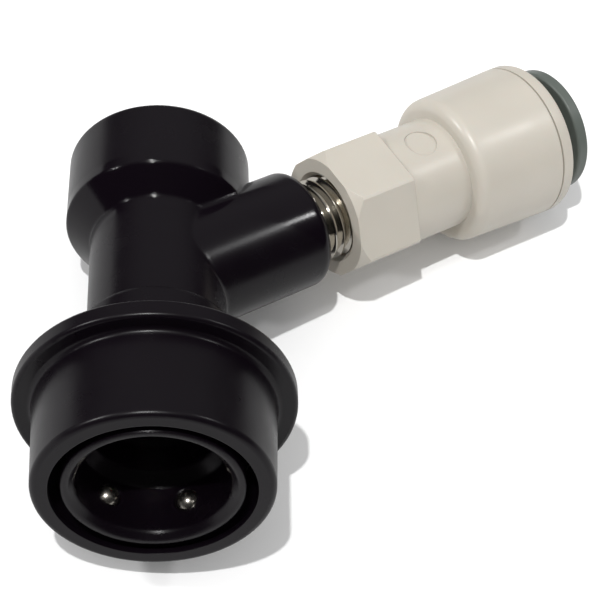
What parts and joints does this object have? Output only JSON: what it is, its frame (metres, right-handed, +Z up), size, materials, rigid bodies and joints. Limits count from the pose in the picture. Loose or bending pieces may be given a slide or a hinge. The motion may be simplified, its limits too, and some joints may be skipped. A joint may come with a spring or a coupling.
{
  "type": "ball lock disconnect",
  "caption": "Keg quick disconnect lying on its side: sprung locking collar over steel balls, poppet valve, and an angled flare outlet carrying a push-fit tube adapter.",
  "frame": {"origin": "centre of the fitting's footprint on the table it lies on", "axes": "+Z up from the table; the barrel lies along Y with its mouth towards -Y and tilts down a little towards the cup end at +Y; the outlet arm leaves towards +X and +Y"},
  "size_m": [0.0762, 0.0764, 0.0345],
  "materials": {
    "black_plastic": "satin moulded",
    "grey_acetal": "satin moulded",
    "green_grey_acetal": "satin moulded",
    "natural_plastic": "satin",
    "black_rubber": "matt",
    "stainless_steel": "machined and drawn stainless steel",
    "polished_steel": "polished stainless steel balls"
  },
  "bodies": {
    "fitting": {"body": "black_plastic", "top_cap": "black_plastic", "cap_gasket": "black_rubber", "flare_stub": "stainless_steel", "flare_washer": "natural_plastic", "adapter_body": "grey_acetal", "end_cap": "grey_acetal", "tube_seal": "black_rubber", "backing_ring": "natural_plastic", "collar_spring": "stainless_steel", "valve_spring": "stainless_steel"},
    "collar": {"collar": "black_plastic"},
    "valve": {"valve_pin": "natural_plastic", "poppet_seal": "black_rubber"},
    "collet": {"collet": "green_grey_acetal", "collet_teeth": "stainless_steel"},
    "ball_1": {"lock_ball_1": "polished_steel"},
    "ball_2": {"lock_ball_2": "polished_steel"},
    "ball_3": {"lock_ball_3": "polished_steel"},
    "ball_4": {"lock_ball_4": "polished_steel"},
    "ball_5": {"lock_ball_5": "polished_steel"},
    "ball_6": {"lock_ball_6": "polished_steel"}
  },
  "joints": [
    {"name": "collar_lift", "type": "slide", "parent": "fitting", "child": "collar", "axis": [0, 0.9902, -0.1395], "range_m": [0, 0.0032], "stiffness_N_per_m": 900, "springref_m": -0.006, "deforming": ["collar_spring"]},
    {"name": "valve_lift", "type": "slide", "parent": "fitting", "child": "valve", "axis": [0, 0.9902, -0.1395], "range_m": [0, 0.003], "stiffness_N_per_m": 400, "springref_m": -0.006, "deforming": ["valve_spring"]},
    {"name": "collet_press", "type": "slide", "parent": "fitting", "child": "collet", "axis": [-0.8415, -0.5363, 0.066], "range_m": [0, 0.0015]},
    {"name": "ball_1_out", "type": "slide", "parent": "fitting", "child": "ball_1", "axis": [0.9999, 0.0016, 0.0112], "range_m": [0, 0.00105]},
    {"name": "ball_2_out", "type": "slide", "parent": "fitting", "child": "ball_2", "axis": [0.5097, -0.12, -0.8519], "range_m": [0, 0.00105]},
    {"name": "ball_3_out", "type": "slide", "parent": "fitting", "child": "ball_3", "axis": [-0.4902, -0.1216, -0.8631], "range_m": [0, 0.00105]},
    {"name": "ball_4_out", "type": "slide", "parent": "fitting", "child": "ball_4", "axis": [-0.9999, -0.0016, -0.0112], "range_m": [0, 0.00105]},
    {"name": "ball_5_out", "type": "slide", "parent": "fitting", "child": "ball_5", "axis": [-0.5097, 0.12, 0.8519], "range_m": [0, 0.00105]},
    {"name": "ball_6_out", "type": "slide", "parent": "fitting", "child": "ball_6", "axis": [0.4902, 0.1216, 0.8631], "range_m": [0, 0.00105]}
  ],
  "couplings": [
    {"joint": "ball_1_out", "follows": "collar_lift", "ratio": 0.328},
    {"joint": "ball_2_out", "follows": "collar_lift", "ratio": 0.328},
    {"joint": "ball_3_out", "follows": "collar_lift", "ratio": 0.328},
    {"joint": "ball_4_out", "follows": "collar_lift", "ratio": 0.328},
    {"joint": "ball_5_out", "follows": "collar_lift", "ratio": 0.328},
    {"joint": "ball_6_out", "follows": "collar_lift", "ratio": 0.328}
  ]
}
